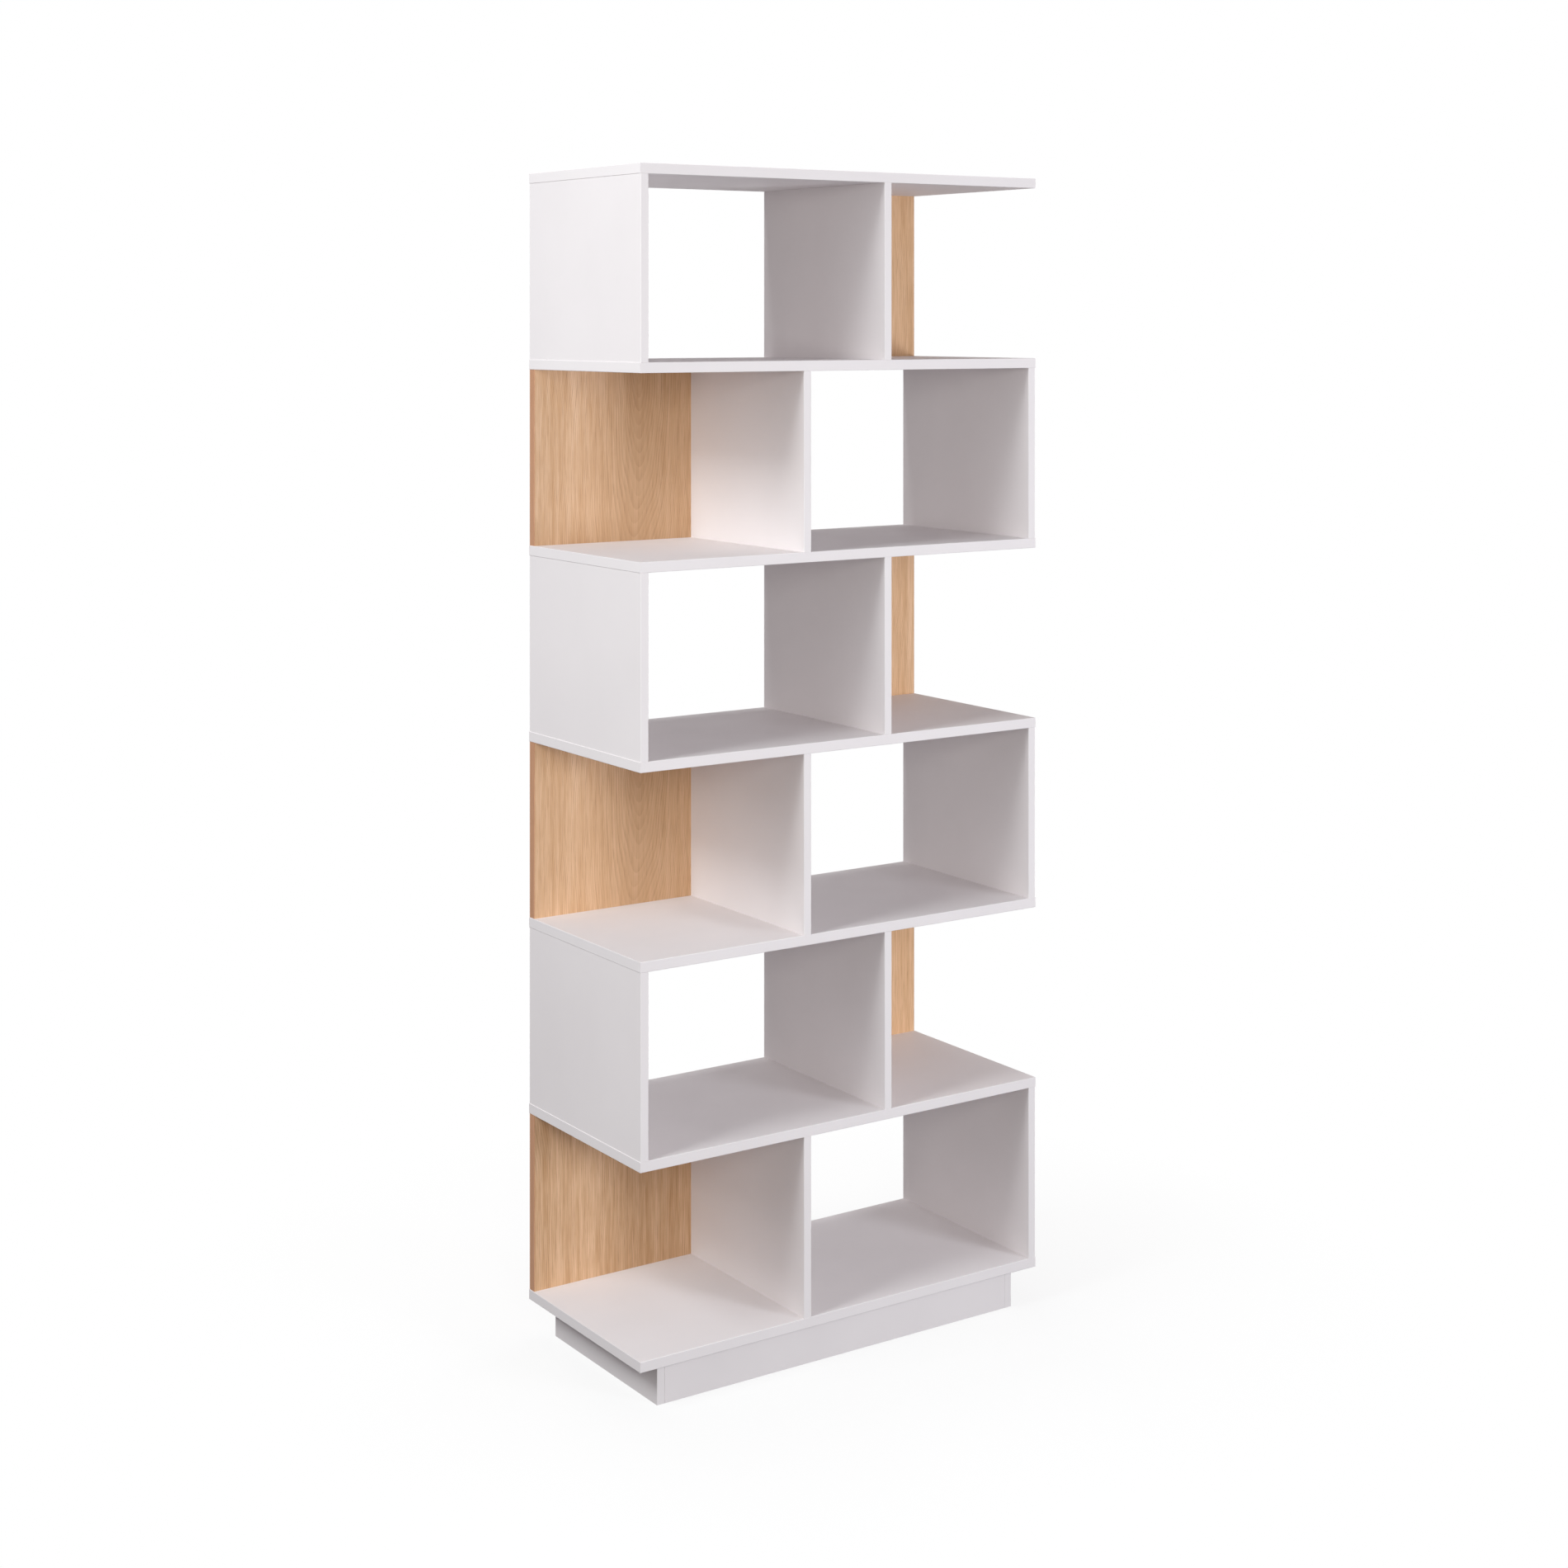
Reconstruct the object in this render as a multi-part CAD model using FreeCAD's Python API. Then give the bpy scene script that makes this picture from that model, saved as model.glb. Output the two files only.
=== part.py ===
import FreeCAD, Part
import math
import os

# A tall zigzag bookcase of white boards: a plinth, seven full-width shelves and six tiers of uprights.
# Each tier has an open-backed box at one end and an oak-backed open bay at the other, changing ends tier by tier.
# Millimetres, +X to the right, +Y to the back, +Z up, with the origin on the floor under the middle of the case.

# Case
case_width = 900.0
case_depth = 410.0
tier_count = 6
clear_height = 333.0
box_clear_width = 517.0
board_thickness = 19.0
upright_thickness = 16.0
oak_thickness = 18.0
end_overhang = 1.0

# Edging glued to the cut edges of the boards
edging_thickness = 1.0
edging_ease = 0.7

# Plinth
plinth_height = 74.0
plinth_thickness = 16.0
plinth_side_inset = 46.0
plinth_depth_inset = 19.0
corner_block_side = 34.0
corner_block_height = 50.0
corner_block_chamfer = 14.0

# Connecting screws, driven up through a board into the upright or oak back that stands on it
screw_diameter = 7.0
screw_length = 50.0
screw_head_diameter = 10.0
screw_head_height = 3.0

# Dowels between the top of an upright and the board that lies on it
dowel_diameter = 8.0
dowel_length = 30.0
dowel_board_depth = 12.0

# Cam fittings in the rear of the oak backs, which draw the board above down on to the tier
cam_diameter = 15.0
cam_height = 12.5
cam_edge_distance = 24.0
cam_slot_width = 2.0
cam_slot_depth = 1.5
cam_slot_margin = 2.5
cam_bolt_diameter = 6.0
cam_bolt_thread_diameter = 5.0
cam_bolt_thread_length = 11.0
cam_bolt_neck_diameter = 4.0
cam_bolt_head_length = 3.0

# Screws through the plinth's corner blocks
block_screw_diameter = 4.0
block_screw_head_diameter = 8.0
block_screw_head_height = 2.5
block_screw_bite = 12.0
block_screw_cover = 20.0

# Facets round a hidden fastener and round a cam, and the fit and spacing of them all
fastener_facets = 8
cam_facets = 16
fixing_setback = 70.0
fit_clearance = 0.1
hole_end_clearance = 1.0

Vector = FreeCAD.Vector
UP = Vector(0, 0, 1)
DOWN = Vector(0, 0, -1)
BACK = Vector(0, 1, 0)
FRONT = Vector(0, -1, 0)

tier_pitch = clear_height + board_thickness
half_width = case_width / 2
half_depth = case_depth / 2
dowel_upright_depth = dowel_length - dowel_board_depth


def box(x, y, z):
    """A block between pairs of limits, given in either order."""
    low = Vector(min(x), min(y), min(z))
    size = Vector(max(x), max(y), max(z)) - low
    return Part.makeBox(size.x, size.y, size.z, low)


def turned(profile, base, direction, facets=None):
    """A round piece in flat facets: the rings of its half profile, as radius and height, joined in turn."""
    count = facets or fastener_facets
    place = FreeCAD.Placement(base, FreeCAD.Rotation(UP, direction))
    angles = [2 * math.pi * (k + 0.5) / count for k in range(count)]
    rings = []
    for radius, height in profile:
        ring = [Vector(radius * math.cos(a), radius * math.sin(a), height) for a in angles]
        rings.append([place.multVec(point) for point in ring])
    outlines = [rings[0], rings[-1]]
    for lower, upper in zip(rings, rings[1:]):
        for k in range(count):
            outlines.append([lower[k - 1], lower[k], upper[k], upper[k - 1]])
    faces = [Part.Face(Part.makePolygon(points + points[:1])) for points in outlines]
    piece = Part.makeSolid(Part.makeShell(faces))
    return piece if piece.Volume > 0 else piece.reversed()


def bore(diameter, base, direction, depth, facets=None):
    """The space drilled for a round piece of this diameter, with its fit clearance all round."""
    radius = diameter / 2 + fit_clearance
    return turned([(radius, 0), (radius, depth)], base, direction, facets)


def edge_strip(corner, outward, across, width, run):
    """A strip of edging: flat on its glued side, with its two outer arrises eased."""
    flat = edging_thickness - edging_ease
    outline = [
        (0, 0),
        (0, width),
        (flat, width),
        (edging_thickness, width - edging_ease),
        (edging_thickness, edging_ease),
        (flat, 0),
    ]
    points = [corner + outward * out + across * side for out, side in outline]
    return Part.Face(Part.makePolygon(points + points[:1])).extrude(run)


def board_bottom(level):
    """Height of a board's underside; level 0 is the bottom board."""
    return plinth_height + level * tier_pitch


def board_edging(level):
    """Edging on the four edges of a board: full-width strips front and back, end strips between them."""
    low = board_bottom(level)
    inner_x = half_width - edging_thickness
    inner_y = half_depth - edging_thickness
    strips = []
    for side in (-1, 1):
        long_start = Vector(-half_width, side * inner_y, low)
        strips.append(edge_strip(long_start, BACK * side, UP, board_thickness, Vector(case_width, 0, 0)))
        end_start = Vector(side * inner_x, -inner_y, low)
        end_run = Vector(0, 2 * inner_y, 0)
        strips.append(edge_strip(end_start, Vector(side, 0, 0), UP, board_thickness, end_run))
    return strips


class Tier:
    """The uprights, the oak back and the fixings between one board and the next."""

    def __init__(self, level):
        # the box is at the right end of the bottom tier, and changes ends on each tier above it
        self.side = 1 if level % 2 == 0 else -1
        self.foot = board_bottom(level) + board_thickness
        self.head = self.foot + clear_height
        end = half_width - end_overhang
        panel_inner = end - upright_thickness
        divider_near = panel_inner - box_clear_width
        divider_far = divider_near - upright_thickness
        self.panel_x = (self.side * panel_inner, self.side * end)
        self.divider_x = (self.side * divider_far, self.side * divider_near)
        self.oak_x = (self.side * divider_far, -self.side * (end - edging_thickness))
        self.oak_y = (half_depth - oak_thickness, half_depth)

    def height(self):
        return (self.foot, self.head)

    def upright_middles(self):
        return [sum(self.panel_x) / 2, sum(self.divider_x) / 2]

    def upright_fixings(self):
        """Where fixings stand in the two uprights, in plan."""
        reach = half_depth - fixing_setback
        return [(x, y) for x in self.upright_middles() for y in (-reach, reach)]

    def oak_fixings(self):
        """Where fixings stand in the oak back, in plan."""
        low, high = min(self.oak_x), max(self.oak_x)
        middle = half_depth - oak_thickness / 2
        return [(low + fixing_setback, middle), (high - fixing_setback, middle)]

    def screw_bases(self):
        """Centres of the screw heads, flush with the underside of the board below."""
        low = self.foot - board_thickness
        return [Vector(x, y, low) for x, y in self.upright_fixings() + self.oak_fixings()]

    def dowel_bases(self):
        low = self.head - dowel_upright_depth
        return [Vector(x, y, low) for x, y in self.upright_fixings()]

    def cam_centres(self):
        """Centres of the cams on the rear face of the oak back."""
        high = self.head - cam_edge_distance
        return [Vector(x, half_depth, high) for x, _ in self.oak_fixings()]

    def upright(self, x):
        """An upright's board, less the strips on its front and rear edges and its drilled holes."""
        inner_y = half_depth - edging_thickness
        board = box(x, (-inner_y, inner_y), self.height())
        return board.cut(self.screw_holes() + self.dowel_holes())

    def upright_edging(self, x):
        inner_y = half_depth - edging_thickness
        run = Vector(0, 0, clear_height)
        across = Vector(1, 0, 0)
        strips = []
        for side in (-1, 1):
            start = Vector(min(x), side * inner_y, self.foot)
            strips.append(edge_strip(start, BACK * side, across, upright_thickness, run))
        return strips

    def oak_back(self):
        panel = box(self.oak_x, self.oak_y, self.height())
        return panel.cut(self.screw_holes() + self.cam_holes())

    def oak_edging(self):
        """The strip on the oak back's free end."""
        start = Vector(self.oak_x[1], self.oak_y[0], self.foot)
        run = Vector(0, 0, clear_height)
        return edge_strip(start, Vector(-self.side, 0, 0), BACK, oak_thickness, run)

    def screws(self):
        head, shank = screw_head_diameter / 2, screw_diameter / 2
        profile = [(head, 0), (shank, screw_head_height), (shank, screw_length)]
        return [turned(profile, base, UP) for base in self.screw_bases()]

    def screw_holes(self):
        holes = []
        for base in self.screw_bases():
            holes.append(bore(screw_diameter, base, UP, screw_length + hole_end_clearance))
        return holes

    def countersinks(self):
        """Cones that seat the screw heads flush in the board below."""
        head = screw_head_diameter / 2 + fit_clearance
        shank = screw_diameter / 2 + fit_clearance
        return [turned([(head, 0), (shank, screw_head_height)], base, UP) for base in self.screw_bases()]

    def dowels(self):
        profile = [(dowel_diameter / 2, 0), (dowel_diameter / 2, dowel_length)]
        return [turned(profile, base, UP) for base in self.dowel_bases()]

    def dowel_holes(self):
        depth = dowel_length + 2 * hole_end_clearance
        return [bore(dowel_diameter, base + DOWN * hole_end_clearance, UP, depth) for base in self.dowel_bases()]

    def cams(self):
        """Round cams with a pocket for the bolt's head and a driver slot in the rear face."""
        pocket_depth = cam_diameter / 2 + cam_bolt_head_length
        slot_length = cam_diameter - 2 * cam_slot_margin
        pieces = []
        for centre in self.cam_centres():
            cam = turned([(cam_diameter / 2, 0), (cam_diameter / 2, cam_height)], centre, FRONT, cam_facets)
            mouth = self.bolt_line(centre) + UP * (cam_diameter / 2)
            pocket = bore(cam_bolt_diameter, mouth, DOWN, pocket_depth)
            slot_x = (centre.x - slot_length / 2, centre.x + slot_length / 2)
            slot_z = (centre.z - cam_slot_width / 2, centre.z + cam_slot_width / 2)
            slot = box(slot_x, (centre.y - cam_slot_depth, centre.y), slot_z)
            pieces.append(cam.cut([pocket, slot]))
        return pieces

    def bolt_line(self, centre):
        """The point on a cam bolt's axis that is level with its cam's centre."""
        return Vector(centre.x, half_depth - oak_thickness / 2, centre.z)

    def cam_bolts(self):
        """Bolts from the cams up into the board above: head, neck, plain shank and thread."""
        shank, neck, thread = (d / 2 for d in (cam_bolt_diameter, cam_bolt_neck_diameter, cam_bolt_thread_diameter))
        neck_top = cam_diameter / 2
        profile = [
            (shank, -cam_bolt_head_length),
            (shank, 0),
            (neck, 0),
            (neck, neck_top),
            (shank, neck_top),
            (shank, cam_edge_distance),
            (thread, cam_edge_distance),
            (thread, cam_edge_distance + cam_bolt_thread_length),
        ]
        return [turned(profile, self.bolt_line(centre), UP) for centre in self.cam_centres()]

    def cam_holes(self):
        """In the oak back: a round pocket for each cam and a bore down from the top edge for its bolt."""
        holes = []
        for centre in self.cam_centres():
            holes.append(bore(cam_diameter, centre, FRONT, cam_height + fit_clearance, cam_facets))
            holes.append(bore(cam_bolt_diameter, self.bolt_line(centre), UP, cam_edge_distance))
        return holes

    def bolt_holes(self):
        """In the board above: the holes for the cam bolts' threads."""
        depth = cam_bolt_thread_length + hole_end_clearance
        lift = UP * cam_edge_distance
        return [bore(cam_bolt_thread_diameter, self.bolt_line(c) + lift, UP, depth) for c in self.cam_centres()]


class Plinth:
    """A frame of four rails on edge, with a block screwed into each inner corner."""

    def __init__(self):
        self.left = -half_width + plinth_side_inset
        self.right = half_width - plinth_side_inset
        self.front = -half_depth + plinth_depth_inset
        self.rear = half_depth - plinth_depth_inset
        self.height = (0, plinth_height)
        self.inner_x = (self.left + plinth_thickness, self.right - plinth_thickness)
        self.inner_y = (self.front + plinth_thickness, self.rear - plinth_thickness)
        self.corners = []
        for x, toward_x in zip(self.inner_x, (1, -1)):
            for y, toward_y in zip(self.inner_y, (1, -1)):
                self.corners.append((x, y, toward_x, toward_y))

    def rails(self):
        """Side rails over the full depth, less the edging on their ends; front and rear rails between them."""
        long_y = (self.front + edging_thickness, self.rear - edging_thickness)
        return {
            "plinth_left_rail": box((self.left, self.inner_x[0]), long_y, self.height),
            "plinth_right_rail": box((self.inner_x[1], self.right), long_y, self.height),
            "plinth_front_rail": box(self.inner_x, (self.front, self.inner_y[0]), self.height),
            "plinth_rear_rail": box(self.inner_x, (self.inner_y[1], self.rear), self.height),
        }

    def edging(self):
        run = Vector(0, 0, plinth_height)
        across = Vector(1, 0, 0)
        strips = []
        for x in (self.left, self.inner_x[1]):
            for y, side in ((self.front + edging_thickness, -1), (self.rear - edging_thickness, 1)):
                strips.append(edge_strip(Vector(x, y, 0), BACK * side, across, plinth_thickness, run))
        return strips

    def blocks(self):
        """Corner blocks against the underside of the bottom board, with their inner arris planed off."""
        low = plinth_height - corner_block_height
        pieces = []
        for x, y, toward_x, toward_y in self.corners:
            outline = [
                (0, 0),
                (corner_block_side, 0),
                (corner_block_side, corner_block_side - corner_block_chamfer),
                (corner_block_side - corner_block_chamfer, corner_block_side),
                (0, corner_block_side),
            ]
            points = [Vector(x + toward_x * u, y + toward_y * v, low) for u, v in outline]
            base = Part.Face(Part.makePolygon(points + points[:1]))
            pieces.append(base.extrude(UP * corner_block_height).cut(self.screw_holes()))
        return pieces

    def screw_lines(self):
        """Head centre, direction and depth of cover of each screw: two through a block's sides and one upwards."""
        middle = corner_block_side / 2
        side_depth = corner_block_side - corner_block_chamfer
        heights = (plinth_height - corner_block_height * 0.7, plinth_height - corner_block_height * 0.3)
        lines = []
        for x, y, toward_x, toward_y in self.corners:
            near = side_depth / 2
            lines.append((Vector(x + toward_x * corner_block_side, y + toward_y * near, heights[0]),
                          Vector(-toward_x, 0, 0), corner_block_side))
            lines.append((Vector(x + toward_x * near, y + toward_y * corner_block_side, heights[1]),
                          Vector(0, -toward_y, 0), corner_block_side))
            lines.append((Vector(x + toward_x * middle, y + toward_y * middle, plinth_height - block_screw_cover),
                          UP, block_screw_cover))
        return lines

    def screws(self):
        """Pan-head screws, each with its head on the block and its point in what the block holds."""
        head, shank = block_screw_head_diameter / 2, block_screw_diameter / 2
        pieces = []
        for base, direction, cover in self.screw_lines():
            profile = [
                (head, -block_screw_head_height),
                (head, 0),
                (shank, 0),
                (shank, cover + block_screw_bite),
            ]
            pieces.append(turned(profile, base, direction))
        return pieces

    def screw_holes(self):
        """Holes for the shanks, and the deep counterbores up which the upright screws are driven."""
        holes = []
        for base, direction, cover in self.screw_lines():
            holes.append(bore(block_screw_diameter, base, direction, cover + block_screw_bite + hole_end_clearance))
            if direction == UP:
                holes.append(bore(block_screw_head_diameter, base, DOWN, corner_block_height))
        return holes


def board(level, tiers, plinth):
    """A board's core, drilled for the tier that stands on it and for what holds it from below."""
    low = board_bottom(level)
    inner_x = half_width - edging_thickness
    inner_y = half_depth - edging_thickness
    core = box((-inner_x, inner_x), (-inner_y, inner_y), (low, low + board_thickness))
    holes = []
    if level < tier_count:
        holes += tiers[level].screw_holes() + tiers[level].countersinks()
    if level > 0:
        holes += tiers[level - 1].dowel_holes() + tiers[level - 1].bolt_holes()
    if level == 0:
        holes += plinth.screw_holes()
    return core.cut(holes)


def export(node, pieces):
    """Writes one node, a single solid or a group of separate ones."""
    shape = pieces[0] if len(pieces) == 1 else Part.makeCompound(pieces)
    shape.exportStep(f"parts/{node}.step")


def build():
    os.makedirs("parts", exist_ok=True)
    tiers = [Tier(level) for level in range(tier_count)]
    plinth = Plinth()

    for node, rail in plinth.rails().items():
        export(node, [rail.cut(plinth.screw_holes())])
    export("plinth_edging", plinth.edging())
    export("plinth_corner_blocks", plinth.blocks())
    export("corner_block_screws", plinth.screws())

    for level in range(tier_count + 1):
        node = f"shelf_{level}"
        if level == 0:
            node = "bottom_board"
        if level == tier_count:
            node = "top_board"
        export(node, [board(level, tiers, plinth)])
        export(f"{node}_edging", board_edging(level))

    for number, tier in enumerate(tiers, 1):
        export(f"tier_{number}_side_panel", [tier.upright(tier.panel_x)])
        export(f"tier_{number}_divider", [tier.upright(tier.divider_x)])
        export(f"tier_{number}_oak_back", [tier.oak_back()])

    export("side_panel_edging", [strip for tier in tiers for strip in tier.upright_edging(tier.panel_x)])
    export("divider_edging", [strip for tier in tiers for strip in tier.upright_edging(tier.divider_x)])
    export("oak_back_edging", [tier.oak_edging() for tier in tiers])
    export("connecting_screws", [screw for tier in tiers for screw in tier.screws()])
    export("beech_dowels", [dowel for tier in tiers for dowel in tier.dowels()])
    export("cam_housings", [cam for tier in tiers for cam in tier.cams()])
    export("cam_bolts", [bolt for tier in tiers for bolt in tier.cam_bolts()])


build()
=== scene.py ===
import math

import bpy
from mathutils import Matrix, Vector


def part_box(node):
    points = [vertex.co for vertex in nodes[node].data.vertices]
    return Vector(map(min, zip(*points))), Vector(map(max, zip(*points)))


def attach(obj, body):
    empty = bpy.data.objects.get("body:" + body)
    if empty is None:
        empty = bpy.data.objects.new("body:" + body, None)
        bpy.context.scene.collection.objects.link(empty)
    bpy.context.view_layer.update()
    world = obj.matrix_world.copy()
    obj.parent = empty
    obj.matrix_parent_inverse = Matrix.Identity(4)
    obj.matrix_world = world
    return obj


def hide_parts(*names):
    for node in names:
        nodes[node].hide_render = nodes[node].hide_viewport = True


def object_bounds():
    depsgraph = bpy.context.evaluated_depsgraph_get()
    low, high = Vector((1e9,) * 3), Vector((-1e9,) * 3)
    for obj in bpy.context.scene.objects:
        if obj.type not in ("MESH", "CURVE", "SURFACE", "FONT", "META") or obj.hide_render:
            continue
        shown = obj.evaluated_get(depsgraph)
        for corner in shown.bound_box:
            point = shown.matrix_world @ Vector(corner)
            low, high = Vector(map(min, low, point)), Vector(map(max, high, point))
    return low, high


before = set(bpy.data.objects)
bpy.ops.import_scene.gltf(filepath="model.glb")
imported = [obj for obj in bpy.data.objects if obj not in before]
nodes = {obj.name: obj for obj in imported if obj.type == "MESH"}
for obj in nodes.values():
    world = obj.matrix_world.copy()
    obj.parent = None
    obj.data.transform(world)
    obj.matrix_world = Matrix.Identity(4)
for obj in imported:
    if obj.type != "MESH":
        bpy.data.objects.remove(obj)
cad_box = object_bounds()


# Plinth rails.
# Four strips of white melamine-faced chipboard on edge, the front and rear ones between the side ones.
# The pressed skin is satin, with a faint pearl texture and hardly any change of tone.
SKIN_CLOUD_SCALE = 5.0
SKIN_SMEAR_SCALE = 2.0
SKIN_SMEAR_STRETCH = (9.0, 9.0, 3.0)
SKIN_RANGE = (0.3, 0.7)
SKIN_SPECULAR = 0.08
PEARL_DEPTH = 0.0002


def add_node(tree, kind, inputs=None, **settings):
    """Adds a node, sets its properties, then sets or links its inputs by name or number."""
    made = tree.nodes.new(kind)
    for key, value in settings.items():
        setattr(made, key, value)
    for key, value in (inputs or {}).items():
        if isinstance(value, bpy.types.NodeSocket):
            tree.links.new(value, made.inputs[key])
        else:
            made.inputs[key].default_value = value
    return made


def spread(tree, value, low, high, to_low=0.0, to_high=1.0):
    """A value carried from one range to another, held at its ends."""
    inputs = {"Value": value, "From Min": low, "From Max": high, "To Min": to_low, "To Max": to_high}
    return add_node(tree, "ShaderNodeMapRange", inputs).outputs[0]


def noise(tree, vector, scale, detail=2.0, roughness=0.5):
    """A field of noise between 0 and 1."""
    inputs = {"Vector": vector, "Scale": scale, "Detail": detail, "Roughness": roughness}
    return add_node(tree, "ShaderNodeTexNoise", inputs).outputs[0]


def stretched(tree, vector, scale):
    """Coordinates stretched by a factor along each axis."""
    return add_node(tree, "ShaderNodeMapping", {"Vector": vector, "Scale": scale}).outputs[0]


def blend_colours(tree, factor, first, second):
    """One colour turning into another as the factor goes from 0 to 1."""
    inputs = {"Factor": factor, 6: first, 7: second}
    return add_node(tree, "ShaderNodeMix", inputs, data_type="RGBA").outputs[2]


def shader_group(name, inputs, outputs):
    """An empty shader group: its tree, the sockets that bring values in, and those that take them out."""
    tree = bpy.data.node_groups.new(name, "ShaderNodeTree")
    for label, kind in inputs.items():
        tree.interface.new_socket(label, in_out="INPUT", socket_type=kind)
    for label in outputs:
        tree.interface.new_socket(label, in_out="OUTPUT", socket_type="NodeSocketFloat")
    return tree, tree.nodes.new("NodeGroupInput").outputs, tree.nodes.new("NodeGroupOutput").inputs


def new_material(name):
    """A material with its tree, its shader and its object coordinates."""
    material = bpy.data.materials.new(name)
    material.use_nodes = True
    tree = material.node_tree
    shader = tree.nodes["Principled BSDF"]
    place = tree.nodes.new("ShaderNodeTexCoord").outputs["Object"]
    return material, tree, shader, place


def set_bump(tree, shader, height, strength, depth):
    """Raises the surface by a height field."""
    bump = add_node(tree, "ShaderNodeBump", {"Height": height, "Strength": strength, "Distance": depth})
    tree.links.new(bump.outputs[0], shader.inputs["Normal"])


def dress(material, *names):
    """Gives CAD nodes their finish."""
    for name in names:
        for slot in nodes[name].material_slots:
            slot.material = material


skin_tree, skin_in, skin_out = shader_group(
    "pressed_skin",
    {"Vector": "NodeSocketVector", "Pearl Scale": "NodeSocketFloat"},
    ("Tone", "Gloss", "Height"),
)
skin_cloud = noise(skin_tree, skin_in["Vector"], SKIN_CLOUD_SCALE, detail=3.0)
skin_drawn = stretched(skin_tree, skin_in["Vector"], SKIN_SMEAR_STRETCH)
skin_smear = noise(skin_tree, skin_drawn, SKIN_SMEAR_SCALE, detail=4.0)
skin_pearl = noise(skin_tree, skin_in["Vector"], skin_in["Pearl Scale"])
skin_tree.links.new(spread(skin_tree, skin_cloud, *SKIN_RANGE), skin_out["Tone"])
skin_tree.links.new(spread(skin_tree, skin_smear, *SKIN_RANGE), skin_out["Gloss"])
skin_tree.links.new(skin_pearl, skin_out["Height"])


def white_skin(name, low, high, gloss, pearl_scale, pearl_strength):
    """A white pressed or extruded skin: two close tones, a range of roughness and a pearl bump."""
    material, tree, shader, place = new_material(name)
    skin = add_node(tree, "ShaderNodeGroup", node_tree=skin_tree)
    tree.links.new(place, skin.inputs["Vector"])
    skin.inputs["Pearl Scale"].default_value = pearl_scale
    tone = blend_colours(tree, skin.outputs["Tone"], low, high)
    tree.links.new(tone, shader.inputs["Base Color"])
    tree.links.new(spread(tree, skin.outputs["Gloss"], 0.0, 1.0, *gloss), shader.inputs["Roughness"])
    shader.inputs["Specular IOR Level"].default_value = SKIN_SPECULAR
    set_bump(tree, shader, skin.outputs["Height"], pearl_strength, PEARL_DEPTH)
    return material


white_board = white_skin(
    "white_board", low=(0.808, 0.766, 0.774, 1), high=(0.835, 0.792, 0.800, 1),
    gloss=(0.52, 0.64), pearl_scale=900.0, pearl_strength=0.10)
dress(white_board, *(f"plinth_{side}_rail" for side in ("front", "rear", "left", "right")))


# Plinth edging.
# White plastic band glued to the ends of the side rails, trimmed flush and eased along its arrises.
# It is a touch cooler and smoother than the pressed skin.
white_band = white_skin(
    "white_band", low=(0.812, 0.772, 0.780, 1), high=(0.832, 0.792, 0.800, 1),
    gloss=(0.46, 0.58), pearl_scale=1500.0, pearl_strength=0.05)
dress(white_band, "plinth_edging")


# Corner blocks.
# Planed softwood blocks in the plinth's inner corners, drilled for their screws.
# The grain runs upright, with broad rings and few pores.
SWAY_STRETCH = (6.0, 6.0, 2.0)
SWAY_REACH = 0.04
RIPPLE_STRETCH = (40.0, 40.0, 7.0)
RIPPLE_REACH = 0.0011
# slope is 0 in the middle of an arch of the grain and 1 on its flanks
LATE_SLOPE = (0.35, 0.90)
LATE_SHARPNESS = (0.9, 2.6)
YEAR_CLOSE = 0.92
RING_SLOPE = (0.40, 0.97)
RING_STRENGTH = (0.32, 1.0)
SEASON_STRENGTH = (0.45, 1.30)
PORE_STRETCH = (1.0, 1.0, 0.035)
PORE_RANGE = (0.54, 0.66)
CROWD_RING = (0.0, 0.6)
CROWD_SHARE = (0.35, 1.0)
STREAK_STRETCH = (75.0, 75.0, 1.2)
STREAK_SHARE = 0.6
FLECK_STRETCH = (260.0, 260.0, 16.0)
FLECK_SHARE = 0.4
FIBRE_RANGE = (0.38, 0.62)
FIBRE_SLOPE = (0.35, 0.95)
FIBRE_LOWEST = (0.20, 0.0)
FIBRE_HIGHEST = (0.80, 1.0)
CLOUD_STRETCH = (10.0, 10.0, 2.0)
CLOUD_RANGE = (0.25, 0.75)
WOOD_SPECULAR = 0.3
FIBRE_RISE = 0.3
WOOD_RELIEF = 0.25
WOOD_DEPTH = 0.0003


def math_node(tree, operation, *values):
    """The result of one sum on numbers or sockets."""
    return add_node(tree, "ShaderNodeMath", dict(enumerate(values)), operation=operation).outputs[0]


wood_tree, wood_in, wood_out = shader_group(
    "wood_grain",
    {
        "Vector": "NodeSocketVector",
        "Figure": "NodeSocketVector",
        "Lean": "NodeSocketFloat",
        "Ring Width": "NodeSocketFloat",
        "Pore Scale": "NodeSocketFloat",
    },
    ("Ring", "Pore", "Fibre", "Cloud"),
)
wood_offset = {0: wood_in["Vector"], 1: wood_in["Figure"]}
wood_spot = add_node(wood_tree, "ShaderNodeVectorMath", wood_offset, operation="SUBTRACT").outputs[0]
wood_place = add_node(wood_tree, "ShaderNodeSeparateXYZ", {0: wood_spot}).outputs
wood_sway = noise(wood_tree, stretched(wood_tree, wood_spot, SWAY_STRETCH), 1.0)
wood_ripple = noise(wood_tree, stretched(wood_tree, wood_spot, RIPPLE_STRETCH), 1.0)
wood_shift = math_node(wood_tree, "MULTIPLY_ADD", wood_sway, 2 * SWAY_REACH, -SWAY_REACH)
wood_wobble = math_node(wood_tree, "MULTIPLY_ADD", wood_ripple, 2 * RIPPLE_REACH, -RIPPLE_REACH)
wood_side = math_node(wood_tree, "ADD", wood_place["X"], wood_shift)
wood_lean = math_node(wood_tree, "MULTIPLY", wood_place["Z"], wood_in["Lean"])
wood_depth = math_node(wood_tree, "SUBTRACT", wood_place["Y"], wood_lean)
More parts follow.
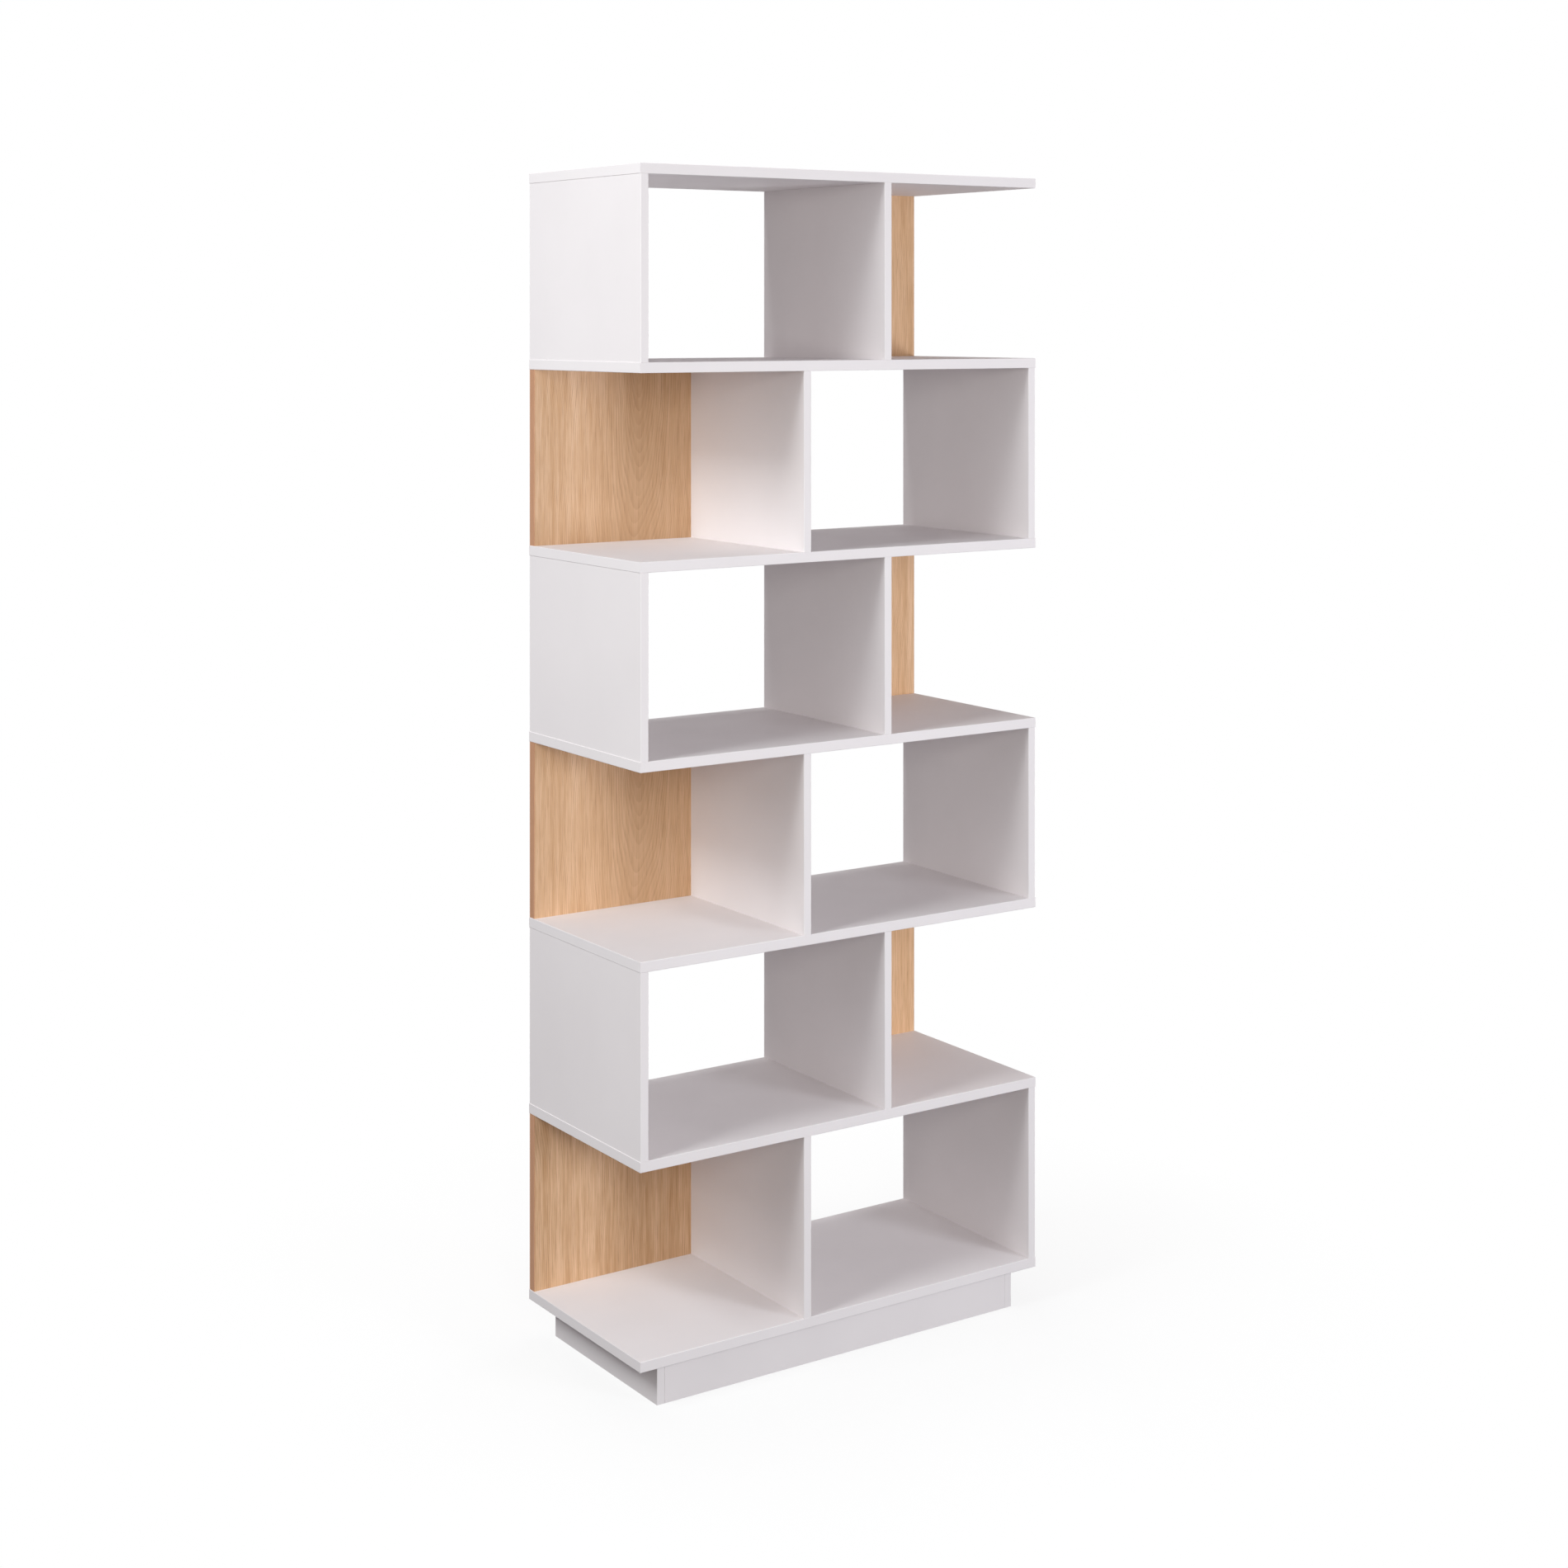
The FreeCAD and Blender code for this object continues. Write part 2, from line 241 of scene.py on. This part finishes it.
wood_arm = add_node(wood_tree, "ShaderNodeCombineXYZ", {0: wood_side, 1: wood_depth}).outputs[0]
wood_radius = add_node(wood_tree, "ShaderNodeVectorMath", {0: wood_arm}, operation="LENGTH").outputs["Value"]
wood_radius = math_node(wood_tree, "ADD", wood_radius, wood_wobble)
wood_turn = math_node(wood_tree, "DIVIDE", wood_radius, wood_in["Ring Width"])
wood_year = math_node(wood_tree, "FRACT", wood_turn)
wood_slope = math_node(wood_tree, "DIVIDE", math_node(wood_tree, "ABSOLUTE", wood_side), wood_radius)
wood_sharpness = spread(wood_tree, wood_slope, *LATE_SLOPE, *LATE_SHARPNESS)
wood_late = math_node(wood_tree, "POWER", wood_year, wood_sharpness)
wood_close = spread(wood_tree, wood_year, YEAR_CLOSE, 1.0, 1.0, 0.0)
wood_season = add_node(
    wood_tree, "ShaderNodeTexWhiteNoise", {"W": math_node(wood_tree, "FLOOR", wood_turn)},
    noise_dimensions="1D").outputs["Value"]
wood_strength = math_node(
    wood_tree, "MULTIPLY", spread(wood_tree, wood_slope, *RING_SLOPE, *RING_STRENGTH),
    spread(wood_tree, wood_season, 0.0, 1.0, *SEASON_STRENGTH))
wood_band = math_node(wood_tree, "MULTIPLY", wood_late, wood_close)
wood_ring = math_node(wood_tree, "MULTIPLY", wood_band, wood_strength)
wood_drawn = stretched(wood_tree, wood_spot, PORE_STRETCH)
wood_pores = noise(wood_tree, wood_drawn, wood_in["Pore Scale"], roughness=0.6)
wood_pore = spread(wood_tree, wood_pores, *PORE_RANGE)
wood_crowd = spread(wood_tree, wood_ring, *CROWD_RING, *CROWD_SHARE)
wood_strands = stretched(wood_tree, wood_spot, STREAK_STRETCH)
wood_streak = noise(wood_tree, wood_strands, 1.0, detail=5.0, roughness=0.70)
wood_fleck = noise(wood_tree, stretched(wood_tree, wood_spot, FLECK_STRETCH), 1.0)
wood_streaks = math_node(wood_tree, "MULTIPLY", wood_streak, STREAK_SHARE)
wood_lines = math_node(wood_tree, "MULTIPLY_ADD", wood_fleck, FLECK_SHARE, wood_streaks)
wood_fibre = spread(
    wood_tree, wood_lines, *FIBRE_RANGE,
    spread(wood_tree, wood_slope, *FIBRE_SLOPE, *FIBRE_LOWEST),
    spread(wood_tree, wood_slope, *FIBRE_SLOPE, *FIBRE_HIGHEST))
wood_cloud = noise(wood_tree, stretched(wood_tree, wood_spot, CLOUD_STRETCH), 1.0, detail=3.0)
wood_tree.links.new(wood_ring, wood_out["Ring"])
wood_tree.links.new(math_node(wood_tree, "MULTIPLY", wood_pore, wood_crowd), wood_out["Pore"])
wood_tree.links.new(wood_fibre, wood_out["Fibre"])
wood_tree.links.new(spread(wood_tree, wood_cloud, *CLOUD_RANGE), wood_out["Cloud"])


def wood(name, pale, warm, late, pore, figure, weights, gloss):
    """A wood: pale and warm tones in fibres and clouds, darker late rings, and sunken pores."""
    material, tree, shader, place = new_material(name)
    grain = add_node(tree, "ShaderNodeGroup", node_tree=wood_tree)
    tree.links.new(place, grain.inputs["Vector"])
    for label, value in figure.items():
        grain.inputs[label].default_value = value
    fibre, cloud, ring, sunk = (
        math_node(tree, "MULTIPLY", grain.outputs[label], weights[label])
        for label in ("Fibre", "Cloud", "Ring", "Pore"))
    tone = blend_colours(tree, math_node(tree, "ADD", fibre, cloud), pale, warm)
    tone = blend_colours(tree, ring, tone, late)
    tone = blend_colours(tree, sunk, tone, pore)
    tree.links.new(tone, shader.inputs["Base Color"])
    tree.links.new(spread(tree, grain.outputs["Fibre"], 0.0, 1.0, *gloss), shader.inputs["Roughness"])
    shader.inputs["Specular IOR Level"].default_value = WOOD_SPECULAR
    raised = math_node(tree, "MULTIPLY", grain.outputs["Fibre"], FIBRE_RISE)
    set_bump(tree, shader, math_node(tree, "SUBTRACT", raised, sunk), WOOD_RELIEF, WOOD_DEPTH)
    return material


pine = wood(
    "pine", pale=(0.72, 0.50, 0.28, 1), warm=(0.62, 0.40, 0.20, 1),
    late=(0.46, 0.26, 0.11, 1), pore=(0.40, 0.24, 0.12, 1),
    figure={"Figure": (0.0, -0.05, 0.0), "Lean": 0.1, "Ring Width": 0.006, "Pore Scale": 700.0},
    weights={"Fibre": 0.5, "Cloud": 0.4, "Ring": 0.7, "Pore": 0.1}, gloss=(0.6, 0.75))
dress(pine, "plinth_corner_blocks")


# Corner block screws.
# Bright zinc-plated steel screws, two from each block into the rails and one up into the bottom board.
# The plating is fine-grained and a little uneven.
MOTTLE_RANGE = (0.3, 0.7)
SPECKLE_FINENESS = 6
METAL_RELIEF = 0.08
METAL_DEPTH = 0.0001


def plated(name, low, high, gloss, scale):
    """Bare or plated metal with a mottled tone and roughness."""
    material, tree, shader, place = new_material(name)
    mottle = noise(tree, place, scale, detail=4.0, roughness=0.6)
    tree.links.new(blend_colours(tree, mottle, low, high), shader.inputs["Base Color"])
    tree.links.new(spread(tree, mottle, *MOTTLE_RANGE, *gloss), shader.inputs["Roughness"])
    shader.inputs["Metallic"].default_value = 1.0
    set_bump(tree, shader, noise(tree, place, scale * SPECKLE_FINENESS), METAL_RELIEF, METAL_DEPTH)
    return material


zinc_plate = plated(
    "zinc_plate", low=(0.52, 0.53, 0.55, 1), high=(0.70, 0.71, 0.73, 1), gloss=(0.24, 0.40), scale=160.0)
dress(zinc_plate, "corner_block_screws")


# Bottom board, shelves and top board.
# Full-width melamine-faced chipboard, drilled from below for the screws and dowels that hold the tiers.
# They have the same pressed skin as the plinth.
boards = ["bottom_board", "shelf_1", "shelf_2", "shelf_3", "shelf_4", "shelf_5", "top_board"]
dress(white_board, *boards)


# Board edging.
# White plastic band on all four edges of every board, long strips over the ends of the short ones.
# The arrises are eased, which leaves a fine line where a board meets an upright.
dress(white_band, *(f"{name}_edging" for name in boards))


# Uprights.
# A side panel at one end of each tier and a divider towards the other, standing between two boards.
# They are of the same faced chipboard, a little thinner than the boards.
TIERS = range(1, 7)
UPRIGHTS = ("side_panel", "divider")
dress(white_board, *(f"tier_{n}_{kind}" for n in TIERS for kind in UPRIGHTS))


# Upright edging.
# White plastic band on the front and rear edges of the side panels and dividers.
# It is the same band as on the boards, slit narrower.
dress(white_band, *(f"{kind}_edging" for kind in UPRIGHTS))


# Oak backs.
# Oak-faced panels behind the open bays, lacquered matt, with the grain upright.
# The lowest two are straight-grained; the others show arches that point down, off their middle.
OAK_PALE = (0.738, 0.491, 0.312)
OAK_WARM = (0.507, 0.289, 0.139)
OAK_LATE = (0.387, 0.203, 0.095)
OAK_PORE = (0.303, 0.156, 0.070)
OAK_BODY = 0.94
OAK_RING = 0.66
OAK_SUNK = 0.45
OAK_LINES = 0.54
OAK_GLOSS = (0.45, 0.60)
OAK_LEAN = 0.136
OAK_RING_WIDTH = 0.0036
OAK_PORE_SCALE = 820.0
PITH_GAP = 0.036
# each panel's figure: how far across it stands, how far above the panel's middle, its shade and its lines
FIGURES = {
    1: (-0.90, 0.0, 1.00, 0.80),
    2: (1.60, 0.1, 1.15, OAK_LINES),
    3: (0.64, 0.0, 1.03, OAK_LINES),
    4: (0.38, 0.12, 1.08, OAK_LINES),
    5: (0.64, 0.0, 0.97, OAK_LINES),
    6: (0.42, -0.05, 1.02, OAK_LINES),
}


def oak_weights(lines):
    """How strongly each part of the grain shows: straight lines take over from soft clouds."""
    return {"Fibre": lines, "Cloud": OAK_BODY - lines, "Ring": OAK_RING, "Pore": OAK_SUNK}


for n, (share, rise, shade, lines) in FIGURES.items():
    low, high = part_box(f"tier_{n}_oak_back")
    figure = {
        "Figure": (low[0] + share * (high[0] - low[0]), low[1] - PITH_GAP, (low[2] + high[2]) / 2 + rise),
        "Lean": OAK_LEAN,
        "Ring Width": OAK_RING_WIDTH,
        "Pore Scale": OAK_PORE_SCALE,
    }
    tones = [(r * shade, g * shade, b * shade, 1) for r, g, b in (OAK_PALE, OAK_WARM, OAK_LATE, OAK_PORE)]
    oak = wood(f"oak_{n}", *tones, figure, oak_weights(lines), OAK_GLOSS)
    dress(oak, f"tier_{n}_oak_back")


# Oak edging.
# Thin oak strips on the free ends of the oak backs, redder and darker than the faces.
# Their grain runs along the strip.
oak_band = wood(
    "oak_band", pale=(0.588, 0.317, 0.185, 1), warm=(0.472, 0.240, 0.135, 1),
    late=(0.346, 0.163, 0.086, 1), pore=(0.284, 0.134, 0.068, 1),
    figure={"Figure": (0.0, -0.4, 1.1), "Lean": 0.01, "Ring Width": 0.003, "Pore Scale": OAK_PORE_SCALE},
    weights=oak_weights(OAK_LINES), gloss=OAK_GLOSS)
dress(oak_band, "oak_back_edging")


# Connecting screws.
# Plated steel screws with a hexagon socket, driven up through the boards into the uprights and oak backs.
# The countersunk heads lie flush below but for a fine lip, and a coarse thread holds in the chipboard.
SCREW = {
    "Head Radius": 0.0046,
    "Lip Radius": 0.0053,
    "Lip": 0.00015,
    "Head Height": 0.003,
    "Core Radius": 0.0025,
    "Tip Radius": 0.0016,
    "Neck Radius": 0.0034,
    "Neck": 0.017,
    "Thread Radius": 0.0034,
    "Pitch": 0.003,
    "Length": 0.050,
    "Socket Radius": 0.0023,
    "Socket Depth": 0.0024,
}
HEAD_SEGMENTS = 32
SHANK_SEGMENTS = 24
SOCKET_SIDES = 6
RIDGE_HALF = 0.35
THREAD_TURNS = 9
FIXING_SETBACK = 0.070
BOARD_THICKNESS = 0.019


def shape_tree(name, sizes):
    """An empty geometry tree with named sizes in metres: the tree and its inputs."""
    tree = bpy.data.node_groups.new(name, "GeometryNodeTree")
    tree.interface.new_socket("Places", in_out="INPUT", socket_type="NodeSocketGeometry")
    for label in sizes:
        tree.interface.new_socket(label, in_out="INPUT", socket_type="NodeSocketFloat")
    tree.interface.new_socket("Mesh", in_out="OUTPUT", socket_type="NodeSocketGeometry")
    return tree, tree.nodes.new("NodeGroupInput").outputs


def along(tree, x=0.0, y=0.0, z=0.0):
    """Three lengths, numbers or sockets, as one vector."""
    return add_node(tree, "ShaderNodeCombineXYZ", {0: x, 1: y, 2: z}).outputs[0]


def moved(tree, shape, offset):
    """A shape set off from where it was made."""
    return add_node(tree, "GeometryNodeTransform", {"Geometry": shape, "Translation": offset}).outputs[0]


def turned(tree, segments, low_radius, high_radius, length, lift=0.0):
    """A cone or cylinder that stands on its lower end, lifted into place."""
    inputs = {
        "Vertices": segments, "Radius Top": high_radius, "Radius Bottom": low_radius, "Depth": length,
    }
    cone = add_node(tree, "GeometryNodeMeshCone", inputs).outputs["Mesh"]
    return moved(tree, cone, along(tree, z=lift))


def joined(tree, *parts):
    """Several shapes as one."""
    join = tree.nodes.new("GeometryNodeJoinGeometry")
    for part in parts:
        tree.links.new(part, join.inputs[0])
    return join.outputs[0]


def cut(tree, shape, tool):
    """A shape less another."""
    inputs = {"Mesh 1": shape, "Mesh 2": tool}
    made = add_node(tree, "GeometryNodeMeshBoolean", inputs, operation="DIFFERENCE", solver="MANIFOLD")
    return made.outputs["Mesh"]


def set_at_places(tree, places, shape, material):
    """Ends a tree: the shape at every place, as real mesh, in its finish."""
    spots = add_node(tree, "GeometryNodeInstanceOnPoints", {"Points": places, "Instance": shape}).outputs[0]
    real = add_node(tree, "GeometryNodeRealizeInstances", {0: spots}).outputs[0]
    dressed = add_node(tree, "GeometryNodeSetMaterial", {"Geometry": real, "Material": material}).outputs[0]
    tree.links.new(dressed, tree.nodes.new("NodeGroupOutput").inputs[0])


def made_by(tree, name, places, sizes):
    """The plain mesh that a tree makes at these places, as an object at the origin."""
    spots = bpy.data.meshes.new(name)
    spots.from_pydata(places, [], [])
    piece = bpy.data.objects.new(name, spots)
    bpy.context.collection.objects.link(piece)
    maker = piece.modifiers.new(name, "NODES")
    maker.node_group = tree
    for socket in tree.interface.items_tree:
        if socket.name in sizes:
            maker[socket.identifier] = sizes[socket.name]
    solid = bpy.data.meshes.new_from_object(piece.evaluated_get(bpy.context.evaluated_depsgraph_get()))
    piece.modifiers.clear()
    piece.data = solid
    return piece


screw_tree, screw_in = shape_tree("connecting_screw", SCREW)
lip = turned(
    screw_tree, HEAD_SEGMENTS, screw_in["Lip Radius"], screw_in["Lip Radius"], screw_in["Lip"],
    lift=math_node(screw_tree, "MULTIPLY", screw_in["Lip"], -1.0))
head = turned(
    screw_tree, HEAD_SEGMENTS, screw_in["Head Radius"], screw_in["Neck Radius"], screw_in["Head Height"])
# the tool for the socket starts as far below the head as it goes in
socket = turned(
    screw_tree, SOCKET_SIDES, screw_in["Socket Radius"], screw_in["Socket Radius"],
    math_node(screw_tree, "MULTIPLY", screw_in["Socket Depth"], 2.0),
    lift=math_node(screw_tree, "MULTIPLY", screw_in["Socket Depth"], -1.0))
neck = turned(
    screw_tree, HEAD_SEGMENTS, screw_in["Neck Radius"], screw_in["Neck Radius"], screw_in["Neck"],
    lift=screw_in["Head Height"])
thread_foot = math_node(screw_tree, "ADD", screw_in["Neck"], screw_in["Head Height"])
core = turned(
    screw_tree, SHANK_SEGMENTS, screw_in["Core Radius"], screw_in["Tip Radius"],
    math_node(screw_tree, "SUBTRACT", screw_in["Length"], thread_foot), lift=thread_foot)
ridge_half = math_node(screw_tree, "MULTIPLY", screw_in["Pitch"], RIDGE_HALF)
ridge = joined(
    screw_tree,
    turned(screw_tree, SHANK_SEGMENTS, screw_in["Core Radius"], screw_in["Thread Radius"], ridge_half),
    turned(
        screw_tree, SHANK_SEGMENTS, screw_in["Thread Radius"], screw_in["Core Radius"], ridge_half,
        lift=ridge_half))
thread_spots = {
    "Count": THREAD_TURNS,
    "Start Location": along(screw_tree, z=thread_foot),
    "Offset": along(screw_tree, z=screw_in["Pitch"]),
}
thread_line = add_node(screw_tree, "GeometryNodeMeshLine", thread_spots).outputs[0]
thread_rings = {"Points": thread_line, "Instance": ridge}
thread = add_node(screw_tree, "GeometryNodeInstanceOnPoints", thread_rings).outputs[0]
screw = joined(screw_tree, cut(screw_tree, lip, socket), cut(screw_tree, head, socket), neck, core, thread)
set_at_places(screw_tree, screw_in["Places"], screw, zinc_plate)
screw_places = []
for n in TIERS:
    for kind in UPRIGHTS:
        low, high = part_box(f"tier_{n}_{kind}")
        depths = (cad_box[0][1] + FIXING_SETBACK, cad_box[1][1] - FIXING_SETBACK)
        screw_places += [((low[0] + high[0]) / 2, y, low[2] - BOARD_THICKNESS) for y in depths]
    low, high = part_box(f"tier_{n}_oak_back")
    across = (low[0] + FIXING_SETBACK, high[0] - FIXING_SETBACK)
    screw_places += [(x, (low[1] + high[1]) / 2, low[2] - BOARD_THICKNESS) for x in across]
screws = made_by(screw_tree, "connecting_screw_set", screw_places, SCREW)
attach(screws, "root")
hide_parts("connecting_screws")


# Dowels.
# Plain beech pins glued into the heads of the uprights, which locate the board above.
# They are pale, close-grained and out of sight once the case is built.
beech = wood(
    "beech", pale=(0.72, 0.50, 0.33, 1), warm=(0.62, 0.40, 0.25, 1),
    late=(0.52, 0.31, 0.18, 1), pore=(0.40, 0.22, 0.12, 1),
    figure={"Figure": (0.0, -0.3, 0.0), "Lean": 0.0, "Ring Width": 0.003, "Pore Scale": 1200.0},
    weights={"Fibre": 0.5, "Cloud": 0.3, "Ring": 0.3, "Pore": 0.35}, gloss=(0.55, 0.7))
dress(beech, "beech_dowels")


# Cams.
# Round die-cast zinc cams let into the rear of the oak backs, with a raised rim and a cross slot.
# Each has a pocket from above for the head of its bolt.
cast_zinc = plated(
    "cast_zinc", low=(0.30, 0.30, 0.31, 1), high=(0.44, 0.44, 0.45, 1), gloss=(0.46, 0.62), scale=260.0)
CAM = {
    "Radius": 0.00735,
    "Height": 0.0124,
    "Rim": 0.0009,
    "Dish": 0.0004,
    "Slot Length": 0.0100,
    "Slot Width": 0.0018,
    "Slot Depth": 0.0022,
    "Pocket Radius": 0.0031,
    "Pocket Back": 0.009,
    "Pocket Foot": -0.0032,
}
CAM_SEGMENTS = 48
POCKET_SEGMENTS = 24
CAM_EDGE_DISTANCE = 0.024
FACE_TO_REAR = (math.pi / 2, 0.0, 0.0)
cam_tree, cam_in = shape_tree("cam", CAM)
drum = turned(cam_tree, CAM_SEGMENTS, cam_in["Radius"], cam_in["Radius"], cam_in["Height"])
dish_radius = math_node(cam_tree, "SUBTRACT", cam_in["Radius"], cam_in["Rim"])
# the tools for the dish and the slots stand out of the face as far as they go in
dish = turned(
    cam_tree, CAM_SEGMENTS, dish_radius, dish_radius,
    math_node(cam_tree, "MULTIPLY", cam_in["Dish"], 2.0),
    lift=math_node(cam_tree, "MULTIPLY", cam_in["Dish"], -1.0))
face = cut(cam_tree, drum, dish)
slot_tool_depth = math_node(cam_tree, "MULTIPLY", cam_in["Slot Depth"], 2.0)
for width, height in (("Slot Length", "Slot Width"), ("Slot Width", "Slot Length")):
    bar_size = along(cam_tree, cam_in[width], cam_in[height], slot_tool_depth)
    bar = add_node(cam_tree, "GeometryNodeMeshCube", {"Size": bar_size}).outputs[0]
    face = cut(cam_tree, face, bar)
lying_cam = {"Geometry": face, "Rotation": FACE_TO_REAR}
cam = add_node(cam_tree, "GeometryNodeTransform", lying_cam).outputs[0]
pocket = turned(
    cam_tree, POCKET_SEGMENTS, cam_in["Pocket Radius"], cam_in["Pocket Radius"],
    math_node(cam_tree, "MULTIPLY", cam_in["Radius"], 2.0), lift=cam_in["Pocket Foot"])
pocket_back = math_node(cam_tree, "MULTIPLY", cam_in["Pocket Back"], -1.0)
pocket = moved(cam_tree, pocket, along(cam_tree, y=pocket_back))
set_at_places(cam_tree, cam_in["Places"], cut(cam_tree, cam, pocket), cast_zinc)
cam_places = []
for n in TIERS:
    low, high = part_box(f"tier_{n}_oak_back")
    across = (low[0] + FIXING_SETBACK, high[0] - FIXING_SETBACK)
    cam_places += [(x, high[1], high[2] - CAM_EDGE_DISTANCE) for x in across]
cams = made_by(cam_tree, "cam_set", cam_places, CAM)
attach(cams, "root")
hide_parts("cam_housings")


# Cam bolts.
# Plated steel bolts from the cams up into the board above; the cam grips the head and draws the board down.
# They are out of sight once the case is built.
dress(zinc_plate, "cam_bolts")


# Floor.
# A plain white studio floor, which fades into the white of the background away from the object.
# Near the object it keeps a soft shadow.
FLOOR_HALF = 9.0
SHADOW_NEAR = 0.5
SHADOW_FAR = 1.3
SHADOW_SHARE = 0.18
FLOOR_WHITE = (0.92, 0.92, 0.92, 1)
FLOOR_BOUNCE = (0.115, 0.105, 0.112, 1)
WHITE = (1, 1, 1, 1)
floor_mesh = bpy.data.meshes.new("floor")
corners = [(x * FLOOR_HALF, y * FLOOR_HALF, 0.0) for x, y in ((-1, -1), (1, -1), (1, 1), (-1, 1))]
floor_mesh.from_pydata(corners, [], [(0, 1, 2, 3)])
floor = bpy.data.objects.new("floor", floor_mesh)
bpy.context.collection.objects.link(floor)
floor_paint = bpy.data.materials.new("floor_paint")
floor_paint.use_nodes = True
floor_tree = floor_paint.node_tree
floor_tree.nodes.remove(floor_tree.nodes["Principled BSDF"])


def seen_ray(tree):
    """1 for rays from the camera, a reflection or a refraction, which see the white background."""
    rays = tree.nodes.new("ShaderNodeLightPath").outputs
    seen = math_node(tree, "MAXIMUM", rays["Is Camera Ray"], rays["Is Glossy Ray"])
    return math_node(tree, "MAXIMUM", seen, rays["Is Transmission Ray"])


floor_seen = seen_ray(floor_tree)
floor_tone = blend_colours(floor_tree, floor_seen, FLOOR_BOUNCE, FLOOR_WHITE)
matt = add_node(floor_tree, "ShaderNodeBsdfDiffuse", {"Color": floor_tone}).outputs[0]
glow = add_node(floor_tree, "ShaderNodeEmission", {"Color": WHITE, "Strength": 1.0}).outputs[0]
floor_place = floor_tree.nodes.new("ShaderNodeTexCoord").outputs["Object"]
reach = add_node(floor_tree, "ShaderNodeVectorMath", {0: floor_place}, operation="LENGTH").outputs["Value"]
white_share = spread(floor_tree, reach, SHADOW_NEAR, SHADOW_FAR, 1.0 - SHADOW_SHARE, 1.0)
white_share = math_node(floor_tree, "MULTIPLY", white_share, floor_seen)
floor_mix = add_node(floor_tree, "ShaderNodeMixShader", {0: white_share, 1: matt, 2: glow}).outputs[0]
floor_tree.links.new(floor_mix, floor_tree.nodes["Material Output"].inputs["Surface"])
floor_mesh.materials.append(floor_paint)


# Studio light.
# Soft square lamps: two on the left, one beside the camera and one at the right of the front light what it
# sees, and three fill the rear, the right side and the top. The sky is weak, and what shows of it is white.
SKY_STRENGTH = 0.30
SKY_TONE = (1.04, 0.97, 1.0, 1)
# each lamp's place, the length of its side, its power and its tone
LAMPS = {
    "left_lamp": ((-3.4, -0.6, 2.6), 1.6, 20.0, (0.96, 1.01, 1.02)),
    "high_lamp": ((-4.2, -0.4, 4.6), 2.0, 148.0, (0.96, 1.01, 1.02)),
    "camera_lamp": ((-2.4, -4.6, 2.0), 1.6, 81.0, (1.03, 1.03, 0.96)),
    "low_lamp": ((1.8, -4.3, 1.35), 1.0, 95.0, (0.94, 0.99, 1.06)),
    "rear_lamp": ((0.6, 4.6, 1.1), 2.0, 80.0, (1.0, 1.0, 1.0)),
    "side_lamp": ((4.4, 0.6, 1.1), 2.0, 55.0, (1.0, 1.0, 1.0)),
    "top_lamp": ((0.0, 0.2, 4.6), 0.8, 20.0, (1.0, 1.0, 1.0)),
}
LAMP_AIM = Vector((0.0, 0.0, 1.1))
for name, (place, size, power, tone) in LAMPS.items():
    lamp = bpy.data.lights.new(name, "AREA")
    lamp.size = size
    lamp.energy = power
    lamp.color = tone
    lamp_holder = bpy.data.objects.new(name, lamp)
    lamp_holder.location = place
    lamp_holder.rotation_euler = (LAMP_AIM - lamp_holder.location).to_track_quat("-Z", "Y").to_euler()
    lamp_holder.visible_camera = False
    bpy.context.collection.objects.link(lamp_holder)
world = bpy.data.worlds.new("studio")
world.use_nodes = True
bpy.context.scene.world = world
sky_tree = world.node_tree
sky = sky_tree.nodes["Background"]
sky.inputs["Color"].default_value = SKY_TONE
sky.inputs["Strength"].default_value = SKY_STRENGTH
white_sky = add_node(sky_tree, "ShaderNodeBackground", {"Color": WHITE, "Strength": 1.0})
sky_parts = {0: seen_ray(sky_tree), 1: sky.outputs[0], 2: white_sky.outputs[0]}
sky_mix = add_node(sky_tree, "ShaderNodeMixShader", sky_parts)
sky_tree.links.new(sky_mix.outputs[0], sky_tree.nodes["World Output"].inputs["Surface"])


# Camera.
# A level camera at eye height, to the left of the front, with its picture plane upright.
# The lens is shifted down so that the uprights stay parallel.
CAMERA_PLACE = (-2.7328, -4.0296, 1.9251)
CAMERA_TURN = -34.086
CAMERA_SENSOR = 36.0
LENS = 58.03
LENS_DROP = -0.2950
camera = bpy.data.cameras.new("camera")
camera.lens = LENS
camera.sensor_width = CAMERA_SENSOR
camera.shift_y = LENS_DROP
camera_holder = bpy.data.objects.new("camera", camera)
camera_holder.location = CAMERA_PLACE
camera_holder.rotation_euler = (math.radians(90), 0, math.radians(CAMERA_TURN))
bpy.context.collection.objects.link(camera_holder)
bpy.context.scene.camera = camera_holder
bpy.context.scene.view_settings.view_transform = "Standard"
